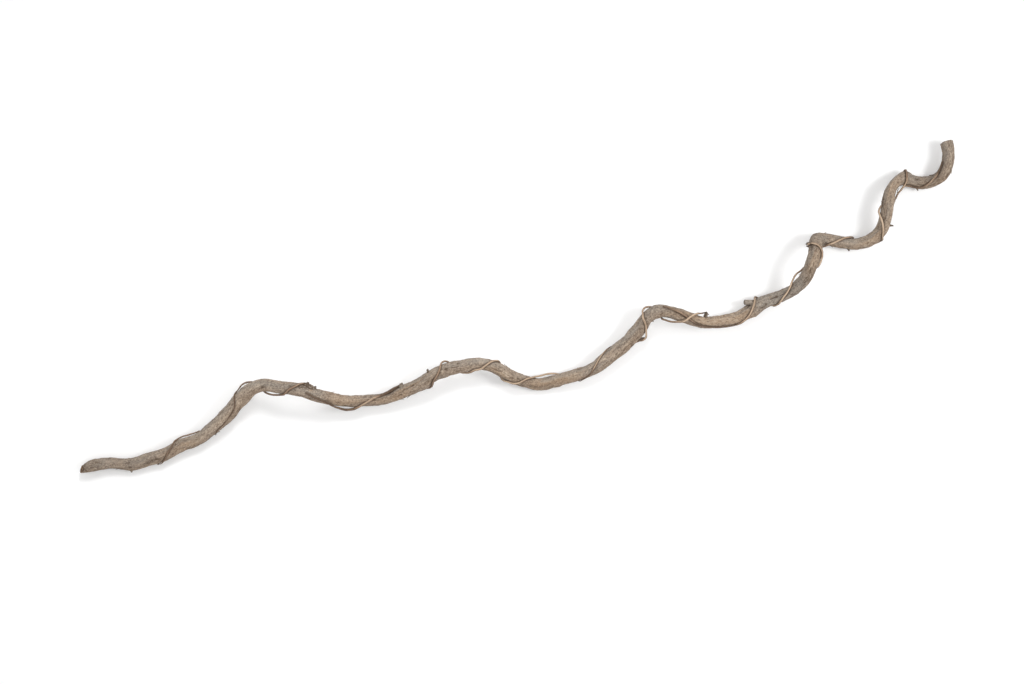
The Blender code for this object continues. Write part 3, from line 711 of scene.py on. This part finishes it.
def add_cut_end(skin, grid, start, outward):
    """A cut face: rings of the wood with drying cracks and a pith, inside the last ring of bark."""
    sides = len(grid.angles)
    rim = skin.points[start:start + sides]
    row = start // sides
    axis = grid.axes[row][2] * outward
    middle = sum(rim, Vector()) / sides
    radius = float(grid.radius[row, 0])
    points = []
    grains = []
    reliefs = []
    for share in CUT_SHARES:
        for angle, corner in zip(grid.angles, rim):
            ring = math.cos(math.tau * CUT_RINGS * share) * 0.10
            crack = sum(
                depth * math.exp(-((math.remainder(angle - place, math.tau)) * share / width) ** 2)
                * math.exp(-((share - 0.5) / 0.34) ** 2)
                for place, width, depth in CUT_CRACKS
            )
            pith = 2.0 * math.exp(-(share / 0.10) ** 2)
            rough = 0.35 * noise.noise((angle * 1.7 + start, share * 9.0, 4.0))
            hollow = 0.35 * (1.0 - share) + crack + pith - ring + rough + 0.3
            inward = min(hollow, CUT_DEEPEST / MM) * MM
            place = middle + (corner - middle) * share - axis * max(inward, 0.0)
            place.z = max(place.z, 0.0)
            points.append(place)
            reach = radius * share
            grains.append((reach, reach * math.cos(angle), reach * math.sin(angle)))
            reliefs.append(-crack)
    points.append(middle - axis * CUT_DEEPEST)
    grains.append((0.0, 0.0, 0.0))
    reliefs.append(-2.0)
    first = len(skin.points)
    rim_faces = []
    for side in range(sides):
        after = (side + 1) % sides
        rim_faces.append((start + side, start + after, first + after, first + side))
    inner = tube_faces(len(CUT_SHARES), sides)
    last = (len(CUT_SHARES) - 1) * sides
    inner += [(last + side, last + (side + 1) % sides, len(points) - 1) for side in range(sides)]
    if outward < 0.0:
        rim_faces = [face[::-1] for face in rim_faces]
        inner = [face[::-1] for face in inner]
    skin.add(points, inner, grain=grains, relief=reliefs, cut=1.0)
    skin.faces.extend(rim_faces)


def twig_skin(name, root, tip, root_radius, tip_radius):
    """A broken twig: it flares where it grows from the stem and ends in a ragged break."""
    ragged, hollow, flat, narrowing, dark = TWIG_FORMS.get(name, PLAIN_FORM)
    start = Vector(root) * MM
    axis = Vector(tip) * MM - start
    length = axis.length
    turn = axis.to_track_quat("Z", "Y")
    seed = 10.0 * list(TWIGS).index(name)
    points = []
    grains = []
    reliefs = []
    for step in range(TWIG_STEPS + 1):
        share = step / TWIG_STEPS
        radius = tip_radius + (root_radius - tip_radius) * (1.0 - share) ** narrowing
        for index in range(TWIG_SIDES):
            angle = math.tau * index / TWIG_SIDES
            bump = noise.noise((seed + 2.2 * math.cos(angle), 2.2 * math.sin(angle), 3.0 * share))
            rib = math.cos(5.0 * angle + seed + 2.0 * share)
            reach = radius * (0.97 + 0.10 * bump + 0.05 * rib) * MM
            jag = noise.noise((seed + 5.0 * math.cos(angle), 5.0 * math.sin(angle), 9.0))
            height = length * share + ragged * tip_radius * MM * (jag - 0.25) * share ** 4
            offset = Vector((reach * math.cos(angle), flat ** share * reach * math.sin(angle), height))
            point = start + turn @ offset
            points.append(point)
            grains.append((seed + height, reach * math.cos(angle), reach * math.sin(angle)))
            reliefs.append(0.8 * bump + 0.5 * rib - 0.2)
    rings = TWIG_STEPS + 1
    faces = tube_faces(rings, TWIG_SIDES)
    rim = points[-TWIG_SIDES:]
    middle = sum(rim, Vector()) / TWIG_SIDES
    inward = axis.normalized() * (hollow * tip_radius * MM)
    for share, depth in TWIG_BREAK:
        points.extend(middle + (corner - middle) * share - inward * depth for corner in rim)
        grains.extend(grains[(rings - 1) * TWIG_SIDES:rings * TWIG_SIDES])
        reliefs.extend([-0.6 - depth] * TWIG_SIDES)
    faces += tube_faces(1 + len(TWIG_BREAK), TWIG_SIDES, start=(rings - 1) * TWIG_SIDES)
    last = (rings + len(TWIG_BREAK) - 1) * TWIG_SIDES
    faces.append(tuple(range(last, last + TWIG_SIDES)))
    faces.append(tuple(reversed(range(TWIG_SIDES))))
    skin = Skin()
    for point in points:
        point.z = max(point.z, 0.0)
    skin.add(points, faces, grain=grains, relief=reliefs, cool=TWIG_COOL, dark=dark)
    return skin


def fuse(stem, twigs):
    """Join the twigs to the stem in one closed skin, and give each vertex its nearest one's values."""
    sources = [stem, *twigs]
    count = sum(len(thing.data.vertices) for thing in sources)
    tree = kdtree.KDTree(count)
    values = {name: [] for name in SKIN_VALUES}
    index = 0
    for thing in sources:
        for vertex in thing.data.vertices:
            tree.insert(vertex.co, index)
            index += 1
        for name, empty in SKIN_VALUES.items():
            wide = 3 if isinstance(empty, tuple) else 1
            field = "vector" if wide == 3 else "value"
            flat = np.empty(len(thing.data.vertices) * wide, dtype=np.float32)
            thing.data.attributes[name].data.foreach_get(field, flat)
            values[name].append(flat.reshape(-1, wide))
    tree.balance()
    values = {name: np.concatenate(parts) for name, parts in values.items()}
    group = bpy.data.collections.new("twigs")
    for twig in twigs:
        group.objects.link(twig)
    joint = stem.modifiers.new("twigs", "BOOLEAN")
    joint.operation = "UNION"
    joint.operand_type = "COLLECTION"
    joint.collection = group
    joint.solver = "MANIFOLD"
    evaluated = stem.evaluated_get(bpy.context.evaluated_depsgraph_get())
    joined = bpy.data.meshes.new_from_object(evaluated)
    stem.modifiers.clear()
    for name in SKIN_VALUES:
        if name in joined.attributes:
            joined.attributes.remove(joined.attributes[name])
    nearest = [tree.find(vertex.co)[1] for vertex in joined.vertices]
    write_values(joined, {name: found[nearest] for name, found in values.items()})
    joined.shade_smooth()
    stem.data = joined
    joined.name = stem.name
    for twig in twigs:
        bpy.data.objects.remove(twig)
    bpy.data.collections.remove(group)
    return stem


def surface_tree(thing):
    """Search tree over the faces of a mesh that stands at the origin."""
    mesh = bmesh.new()
    mesh.from_mesh(thing.data)
    tree = BVHTree.FromBMesh(mesh)
    mesh.free()
    return tree


def inside(place, tree):
    """A ray from inside a closed surface leaves it an odd number of times."""
    up = Vector((0.0, 0.0, 1.0))
    crossings = 0
    hit = tree.ray_cast(place, up)[0]
    while hit is not None:
        crossings += 1
        hit = tree.ray_cast(hit + up * RAY_STEP, up)[0]
    return crossings % 2 == 1


def push_out(place, reach, tree):
    """The shift that takes a place to at least this reach outside a closed surface."""
    nearest, normal, _face, gap = tree.find_nearest(place)
    away = place - nearest
    if away.dot(normal) < 0.0 and inside(place, tree):
        return normal * (reach + gap)
    return away.normalized() * max(reach - gap, 0.0)


def vine_girth(name, x):
    """Share of the usual radius that a vine has at this X."""
    girths = np.array(VINE_GIRTHS[name], dtype=float)
    return float(np.interp(x / MM, girths[:, 0], girths[:, 1]))


def seat(name, x):
    """Distance of a vine's centre line from what it lies on. Its thickest stretches sink in a little."""
    return FINE_RADIUS * min(vine_girth(name, x), 1.0) + FINE_GAP


def push_clear(name, points, trees, rounds):
    """Move points out until the vine clears the bark, earlier vines and the plane below."""
    for _ in range(rounds):
        for tree in trees:
            for point in points:
                point += push_out(point, seat(name, point.x), tree)
        for point in points:
            point.z = max(point.z, VINE_RADIUS + FLOOR_GAP)


def even_points(route, spacing):
    count = round(route.length / spacing)
    return [route.at(route.length * index / count) for index in range(count + 1)]


def vine_line(name, rows, trees):
    """Closely spaced points of a vine's centre line, clear of the bark and of earlier vines."""
    rows = [(x * MM, math.radians(angle), lift * MM) for x, angle, lift in rows]
    corners = [bark_point(distance_at_x(x), angle, lift) for x, angle, lift in rows]
    round_route = Route(rows, running_length(corners))
    coarse = [
        bark_point(distance_at_x(x), angle, lift + seat(name, x))
        for x, angle, lift in even_points(round_route, VINE_STEP)
    ]
    push_clear(name, coarse, trees, PUSH_ROUNDS)
    line = [Vector(point) for point in even_points(Route(coarse, running_length(coarse)), VINE_SPACING)]
    for _ in range(VINE_SMOOTHS):
        push_clear(name, line, trees, 1)
        line = [line[0]] + [
            (before + here * 2.0 + after) / 4.0 for before, here, after in zip(line, line[1:], line[2:])
        ] + [line[-1]]
    push_clear(name, line, trees, 2)
    return line


def vine_skin(name, line):
    """A thin twining stem: slightly ribbed, swollen at its nodes, with torn ends."""
    seed = 30.0 * (1 + list(VINES).index(name))
    lengths = running_length(line)
    total = lengths[-1]
    tones = np.array(VINE_TONES[name], dtype=float)
    aside = None
    points = []
    grains = []
    reliefs = []
    warms = []
    for index, here in enumerate(line):
        along = (line[min(index + 1, len(line) - 1)] - line[max(index - 1, 0)]).normalized()
        aside = along.orthogonal() if aside is None else aside - along * aside.dot(along)
        aside.normalize()
        other = along.cross(aside)
        distance = lengths[index]
        to_end = min(distance, total - distance)
        taper = VINE_TIP_SHARE + (1.0 - VINE_TIP_SHARE) * min(to_end / VINE_TAPER, 1.0)
        node = abs(math.remainder(distance + seed * MM, VINE_NODE)) / NODE_LENGTH
        swell = 0.10 * math.exp(-node * node)
        slow = 0.05 * noise.noise((seed, distance * 40.0, 0.0))
        tone = float(np.interp(here.x / MM, tones[:, 0], tones[:, 1]))
        girth = taper * vine_girth(name, here.x)
        for side in range(VINE_SIDES):
            angle = math.tau * side / VINE_SIDES
            turn = angle + distance * 18.0
            rib = 0.05 * math.cos(3.0 * turn) + 0.03 * math.cos(5.0 * turn + 1.0)
            spot = (seed + distance * 260.0, 2.0 * math.cos(turn), 2.0 * math.sin(turn))
            fine = 0.07 * noise.noise(spot)
            reach = FINE_RADIUS * girth * (1.0 + swell + slow + rib + fine)
            point = here + aside * (reach * math.cos(angle)) + other * (reach * math.sin(angle))
            point.z = max(point.z, 0.0)
            points.append(point)
            grains.append((seed + distance, reach * math.cos(turn), reach * math.sin(turn)))
            reliefs.append(10.0 * (rib + fine) - 3.0 * swell)
            warms.append(tone)
    rings = len(line)
    faces = tube_faces(rings, VINE_SIDES)
    skin = Skin()
    start = points[:VINE_SIDES]
    end = points[-VINE_SIDES:]
    for ring, low in ((start, 0), (end, (rings - 1) * VINE_SIDES)):
        middle = sum(ring, Vector()) / VINE_SIDES
        first = len(points)
        inner = (line[1] - line[0] if low == 0 else line[-2] - line[-1]).normalized()
        for number, corner in enumerate(ring):
            jag = noise.noise((seed + low, number * 1.3, 2.0))
            points.append(middle + (corner - middle) * 0.6 - inner * (0.9 + 0.9 * jag) * MM)
            grains.append(grains[low + number])
            reliefs.append(-0.8)
            warms.append(0.2)
        points.append(middle + inner * 0.6 * MM)
        grains.append(grains[low])
        reliefs.append(-1.5)
        warms.append(0.0)
        for side in range(VINE_SIDES):
            after = (side + 1) % VINE_SIDES
            edge = (low + side, low + after, first + after, first + side)
            cap = (first + side, first + after, first + VINE_SIDES)
            faces.append(edge if low else edge[::-1])
            faces.append(cap if low else cap[::-1])
    skin.add(points, faces, grain=grains, relief=reliefs, warm=warms)
    return skin


def flake_skin():
    """Thin plates of bark that peel: one end sunk in the stem, the other lifted off it."""
    draw = random.Random(SEED + 1)
    skin = Skin()
    for number in range(FLAKE_COUNT):
        distance = STEM.length * (number + draw.uniform(0.2, 0.8)) / FLAKE_COUNT
        middle = draw.uniform(-math.pi, math.pi)
        length = draw.uniform(*FLAKE_LENGTH)
        width = draw.uniform(*FLAKE_WIDTH) / PIT_ARM
        lift = draw.uniform(*FLAKE_LIFT)
        forward = draw.choice((-1.0, 1.0))
        twist = draw.uniform(-0.35, 0.35)
        warm = draw.uniform(0.0, 0.8)
        points = []
        grains = []
        reliefs = []
        for step in range(FLAKE_STEPS + 1):
            share = step / FLAKE_STEPS
            spot = distance + forward * length * (share - 0.5)
            if not FLAKE_MARGIN < spot < STEM.length - FLAKE_MARGIN:
                break
            height = FLAKE_ROOT + (lift - FLAKE_ROOT) * share * share
            half = 0.5 * width * (0.35 + 0.65 * math.sin(math.pi * min(0.15 + share, 1.0) * 0.85))
            for layer in (1.0, 0.0):
                for side in range(FLAKE_SIDES + 1):
                    across = 2.0 * side / FLAKE_SIDES - 1.0
                    order = across if layer else -across
                    ragged = 0.18 * noise.noise((number * 5.0 + order, share * 6.0, 1.0))
                    angle = middle + twist * share + half * order * (1.0 + ragged)
                    curl = 0.4 * MM * share * order * order
                    lifted = height + curl + layer * FLAKE_THICKNESS
                    points.append(bark_point(spot + 0.8 * MM * ragged, angle, lifted))
                    grains.append((number + spot, PIT_ARM * math.cos(angle), PIT_ARM * math.sin(angle)))
                    reliefs.append(0.4 if layer else -1.2)
        rows = len(points) // (2 * (FLAKE_SIDES + 1))
        if rows < FLAKE_STEPS + 1 or min(point.z for point in points) < FLAKE_CLEAR:
            continue
        around = 2 * (FLAKE_SIDES + 1)
        faces = tube_faces(rows, around)
        faces.append(tuple(reversed(range(around))))
        faces.append(tuple(range((rows - 1) * around, rows * around)))
        if forward > 0.0:
            faces = [face[::-1] for face in faces]
        skin.add(points, faces, grain=grains, relief=reliefs, warm=warm, cool=0.8 - warm, dark=0.15)
    return skin


def paint_vine_contact_shade(stem, lines):
    """Painted contact shade on the bark along the vines that lie on it, in a narrower band by a thin one.
    """
    points = [point for line in lines.values() for point in line]
    bands = np.array([
        min(vine_girth(name, point.x), 1.0)
        for name, line in lines.items() for point in line
    ])
    tree = kdtree.KDTree(len(points))
    for index, point in enumerate(points):
        tree.insert(point, index)
    tree.balance()
    found = [tree.find(vertex.co) for vertex in stem.data.vertices]
    nearest = [index for _point, index, _gap in found]
    gaps = np.array([gap for _point, _index, gap in found]) / bands[nearest]
    layer = stem.data.attributes["painted_contact_shade"]
    layer.data.foreach_set("value", (1.0 - smooth_step(*VINE_CONTACT_SHADE_BAND, gaps)).astype(np.float32))


class Nodes:
    """Short names for the few shader nodes that the materials use."""

    def __init__(self, name):
        self.material = bpy.data.materials.new(name)
        self.material.use_nodes = True
        self.tree = self.material.node_tree
        self.shader = self.tree.nodes["Principled BSDF"]

    def link(self, source, target):
        if isinstance(source, bpy.types.NodeSocket):
            self.tree.links.new(source, target)
        else:
            target.default_value = source

    def attribute(self, name):
        node = self.tree.nodes.new("ShaderNodeAttribute")
        node.attribute_name = name
        return node.outputs["Vector" if name == "grain" else "Fac"]

    def scaled(self, vector, along, around):
        node = self.tree.nodes.new("ShaderNodeVectorMath")
        node.operation = "MULTIPLY"
        self.link(vector, node.inputs[0])
        node.inputs[1].default_value = (along, around, around)
        return node.outputs["Vector"]

    def noise(self, vector, detail=3.0, roughness=0.55, distortion=0.0):
        node = self.tree.nodes.new("ShaderNodeTexNoise")
        node.inputs["Scale"].default_value = 1.0
        node.inputs["Detail"].default_value = detail
        node.inputs["Roughness"].default_value = roughness
        node.inputs["Distortion"].default_value = distortion
        self.link(vector, node.inputs["Vector"])
        return node.outputs["Fac"]

    def range(self, value, low, high, start=0.0, end=1.0):
        node = self.tree.nodes.new("ShaderNodeMapRange")
        node.interpolation_type = "SMOOTHSTEP"
        self.link(value, node.inputs["Value"])
        for name, number in (("From Min", low), ("From Max", high), ("To Min", start), ("To Max", end)):
            node.inputs[name].default_value = number
        return node.outputs["Result"]

    def math(self, operation, first, second, clamp=False):
        node = self.tree.nodes.new("ShaderNodeMath")
        node.operation = operation
        node.use_clamp = clamp
        self.link(first, node.inputs[0])
        self.link(second, node.inputs[1])
        return node.outputs["Value"]

    def blend(self, share, base, top):
        node = self.tree.nodes.new("ShaderNodeMix")
        node.data_type = "RGBA"
        self.link(share, node.inputs["Factor"])
        sockets = [socket for socket in node.inputs if socket.type == "RGBA"]
        for tint, socket in zip((base, top), sockets):
            self.link(linear(tint) if isinstance(tint, tuple) else tint, socket)
        return next(socket for socket in node.outputs if socket.type == "RGBA")

    def facing(self, direction):
        """How much the surface faces a direction in the world, from -1 to 1."""
        place = self.tree.nodes.new("ShaderNodeNewGeometry")
        node = self.tree.nodes.new("ShaderNodeVectorMath")
        node.operation = "DOT_PRODUCT"
        self.link(place.outputs["Normal"], node.inputs[0])
        node.inputs[1].default_value = direction
        return node.outputs["Value"]

    def bump(self, height, strength, distance, normal=None):
        node = self.tree.nodes.new("ShaderNodeBump")
        node.inputs["Strength"].default_value = strength
        node.inputs["Distance"].default_value = distance
        self.link(height, node.inputs["Height"])
        if normal is not None:
            self.link(normal, node.inputs["Normal"])
        return node.outputs["Normal"]


def linear(colour):
    """A colour given as it looks on a screen, from 0 to 255, turned into linear light."""
    shares = [level / 255.0 for level in colour]
    return (*[s / 12.92 if s <= 0.04045 else ((s + 0.055) / 1.055) ** 2.4 for s in shares], 1.0)


def bark_material():
    nodes = Nodes("bark")
    grain = nodes.attribute("grain")
    relief = nodes.attribute("relief")
    broad = nodes.noise(nodes.scaled(grain, 14.0, 60.0), detail=2.0)
    streak = nodes.noise(nodes.scaled(grain, 75.0, 330.0), detail=4.0, roughness=0.65, distortion=0.5)
    fibre = nodes.noise(nodes.scaled(grain, 150.0, 1500.0), detail=3.0, roughness=0.65)
    speck = nodes.noise(nodes.scaled(grain, 330.0, 420.0), detail=2.0, roughness=0.6)
    blotch = nodes.noise(nodes.scaled(grain, 70.0, 150.0), detail=3.0, roughness=0.6, distortion=0.8)
    grit = nodes.noise(nodes.scaled(grain, 240.0, 310.0), detail=3.0, roughness=0.75, distortion=0.4)

    warm = nodes.math("ADD", nodes.attribute("warm"), nodes.range(broad, 0.45, 0.75, 0.0, 0.6), clamp=True)
    cool = nodes.math("ADD", nodes.attribute("cool"), nodes.range(broad, 0.50, 0.25, 0.0, 0.5), clamp=True)
    # Painted cool light: the bark turns greyer on the one side that faces this way in the world
    painted_cool_light = nodes.range(nodes.facing(COOL_LIGHT_SIDE), 0.35, 0.95, 0.0, 0.8)
    cool = nodes.math("MAXIMUM", cool, painted_cool_light)

    shade = nodes.blend(nodes.range(streak, 0.26, 0.60), BARK_DEEP, BARK_MID)
    shade = nodes.blend(nodes.range(streak, 0.55, 0.78, 0.0, 0.75), shade, BARK_LIGHT)
    shade = nodes.blend(nodes.math("MULTIPLY", warm, 0.56), shade, BARK_WARM)
    shade = nodes.blend(nodes.math("MULTIPLY", cool, 0.60), shade, BARK_COOL)
    shade = nodes.blend(nodes.range(blotch, 0.60, 0.72, 0.0, 0.45), shade, BARK_PALE)
    shade = nodes.blend(nodes.range(fibre, 0.30, 0.50, 0.42, 0.0), shade, BARK_DEEP)
    shade = nodes.blend(nodes.range(speck, 0.66, 0.76, 0.0, 0.65), shade, BARK_PALE)
    shade = nodes.blend(nodes.range(speck, 0.33, 0.24, 0.0, 0.75), shade, BARK_DARK)
    shade = nodes.blend(nodes.range(relief, -0.45, -1.7, 0.0, 0.80), shade, BARK_DARK)
    shade = nodes.blend(nodes.range(relief, 0.05, 0.6, 0.0, 0.30), shade, BARK_LIGHT)
    fleck = nodes.noise(nodes.scaled(grain, 190.0, 320.0), detail=3.0, roughness=0.7)
    # Pale patches of the bark, some of them painted highlights
    pale = nodes.math("MULTIPLY", nodes.attribute("pale"), nodes.range(fleck, 0.42, 0.60), clamp=True)
    shade = nodes.blend(nodes.math("MULTIPLY", pale, 0.8), shade, BARK_PALE)
    shade = nodes.blend(nodes.range(grit, 0.50, 0.34, 0.0, 0.68), shade, BARK_DARK)
    shade = nodes.blend(nodes.range(grit, 0.52, 0.68, 0.0, 0.46), shade, BARK_PALE)
    # Dark marks, darker twigs and flakes, and the painted shade in the dark areas
    dark = nodes.math("MULTIPLY", nodes.attribute("dark"), nodes.range(speck, 0.66, 0.44), clamp=True)
    shade = nodes.blend(nodes.math("MULTIPLY", dark, 0.85), shade, BARK_DARK)
    # Painted shade: the bark darkens where it turns away from straight up, on its sides and underside
    shade = nodes.blend(nodes.range(nodes.facing(UP), 0.45, 0.05, 0.0, 0.32), shade, BARK_DARK)
    # Painted contact shade: the bark darkens along the vines that lie on it
    shade = nodes.blend(nodes.math("MULTIPLY", nodes.attribute("painted_contact_shade"), 0.6), shade, BARK_DARK)

    wood = nodes.blend(nodes.range(speck, 0.35, 0.65), CUT_DARK, CUT_LIGHT)
    wood = nodes.blend(nodes.range(relief, -0.2, -1.2, 0.0, 0.9), wood, BARK_DARK)
    shade = nodes.blend(nodes.attribute("cut"), shade, wood)

    nodes.link(shade, nodes.shader.inputs["Base Color"])
    nodes.shader.inputs["Roughness"].default_value = BARK_ROUGHNESS
    nodes.shader.inputs["Specular IOR Level"].default_value = BARK_SPECULAR
    fine = nodes.bump(fibre, 0.55, 0.5 * MM)
    coarse = nodes.bump(streak, 0.5, 1.0 * MM, fine)
    nodes.link(nodes.bump(speck, 0.5, 0.5 * MM, coarse), nodes.shader.inputs["Normal"])
    return nodes.material


def vine_material():
    nodes = Nodes("vine_bark")
    grain = nodes.attribute("grain")
    relief = nodes.attribute("relief")
    streak = nodes.noise(nodes.scaled(grain, 40.0, 700.0), detail=3.0)
    speck = nodes.noise(nodes.scaled(grain, 380.0, 900.0), detail=2.0)
    tone = nodes.attribute("warm")
    tone = nodes.math("ADD", tone, nodes.range(streak, 0.35, 0.65, -0.18, 0.18), clamp=True)
    shade = nodes.blend(nodes.range(tone, 0.0, 0.5), VINE_DARK, VINE_MID)
    shade = nodes.blend(nodes.range(tone, 0.45, 1.0), shade, VINE_TAN)
    shade = nodes.blend(nodes.range(nodes.facing(SHADE_SIDE), 0.35, 0.95, 0.0, 0.6), shade, VINE_RED)
    # Painted shade: the vines darken on their sides and underside, leaving a light core on top
    shade = nodes.blend(nodes.range(nodes.facing(UP), 0.74, 0.25, 0.0, 0.8), shade, VINE_DARK)
    shade = nodes.blend(nodes.range(speck, 0.62, 0.74, 0.0, 0.5), shade, VINE_PALE)
    shade = nodes.blend(nodes.range(relief, -0.3, -1.0, 0.0, 0.8), shade, VINE_DARK)
    nodes.link(shade, nodes.shader.inputs["Base Color"])
    nodes.shader.inputs["Roughness"].default_value = VINE_ROUGHNESS
    nodes.shader.inputs["Specular IOR Level"].default_value = VINE_SPECULAR
    fine = nodes.bump(speck, 0.5, 0.3 * MM)
    nodes.link(nodes.bump(streak, 0.5, 0.4 * MM, fine), nodes.shader.inputs["Normal"])
    return nodes.material


def add_floor():
    material = bpy.data.materials.new("floor")
    material.use_nodes = True
    shader = material.node_tree.nodes["Principled BSDF"]
    shader.inputs["Base Color"].default_value = linear(FLOOR_COLOUR)
    shader.inputs["Roughness"].default_value = FLOOR_ROUGHNESS
    shader.inputs["Specular IOR Level"].default_value = 0.0
    bpy.ops.mesh.primitive_plane_add(size=FLOOR_SIZE, location=(0.0, 0.0, -FLOOR_DROP))
    floor = bpy.context.object
    floor.name = "floor"
    floor.data.materials.append(material)


def add_light(name, place, target, size, power, spread):
    light = bpy.data.lights.new(name, "AREA")
    light.shape = "DISK"
    light.size = size
    light.energy = power
    light.spread = math.radians(spread)
    thing = bpy.data.objects.new(name, light)
    thing.location = place
    thing.rotation_euler = (Vector(target) - Vector(place)).to_track_quat("-Z", "Y").to_euler()
    bpy.context.scene.collection.objects.link(thing)


def set_world():
    world = bpy.data.worlds.new("studio")
    world.use_nodes = True
    background = world.node_tree.nodes["Background"]
    background.inputs["Color"].default_value = linear(WORLD_COLOUR)
    background.inputs["Strength"].default_value = WORLD_STRENGTH
    bpy.context.scene.world = world


def add_camera():
    lens = bpy.data.cameras.new("camera")
    lens.lens = CAMERA_LENS
    lens.sensor_width = CAMERA_SENSOR
    lens.clip_end = CAMERA_FAR
    camera = bpy.data.objects.new("camera", lens)
    camera.location = CAMERA_PLACE
    camera.rotation_euler = (0.0, 0.0, math.radians(CAMERA_TURN))
    bpy.context.scene.collection.objects.link(camera)
    bpy.context.scene.camera = camera


def own(thing, slot, *nodes):
    """The piece moves with the liana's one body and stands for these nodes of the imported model."""
    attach(thing, "root")
    if nodes:
        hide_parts(*nodes)


def main():
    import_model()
    bark = bark_material()
    vine_bark = vine_material()
    stem = stem_skin(BarkGrid(STEM_RINGS, STEM_SIDES)).to_object("stem_bark", bark)
    twigs = [twig_skin(name, *rows).to_object("twig_" + name, bark) for name, rows in TWIGS.items()]
    stem = fuse(stem, twigs)
    own(stem, "bark", "stem")
    own(flake_skin().to_object("bark_flakes", bark), "bark")
    trees = [surface_tree(stem)]
    lines = {}
    for name, rows in VINES.items():
        lines[name] = vine_line(name, rows, trees)
        vine = vine_skin(name, lines[name]).to_object(name + "_bark", vine_bark)
        trees.append(surface_tree(vine))
        own(vine, "vine_bark", name)
    # Paint contact shade on the bark along the vines
    paint_vine_contact_shade(stem, lines)
    add_floor()
    set_world()
    for light in LIGHTS:
        add_light(*light)
    add_camera()
    bpy.context.scene.view_settings.view_transform = "Standard"


main()
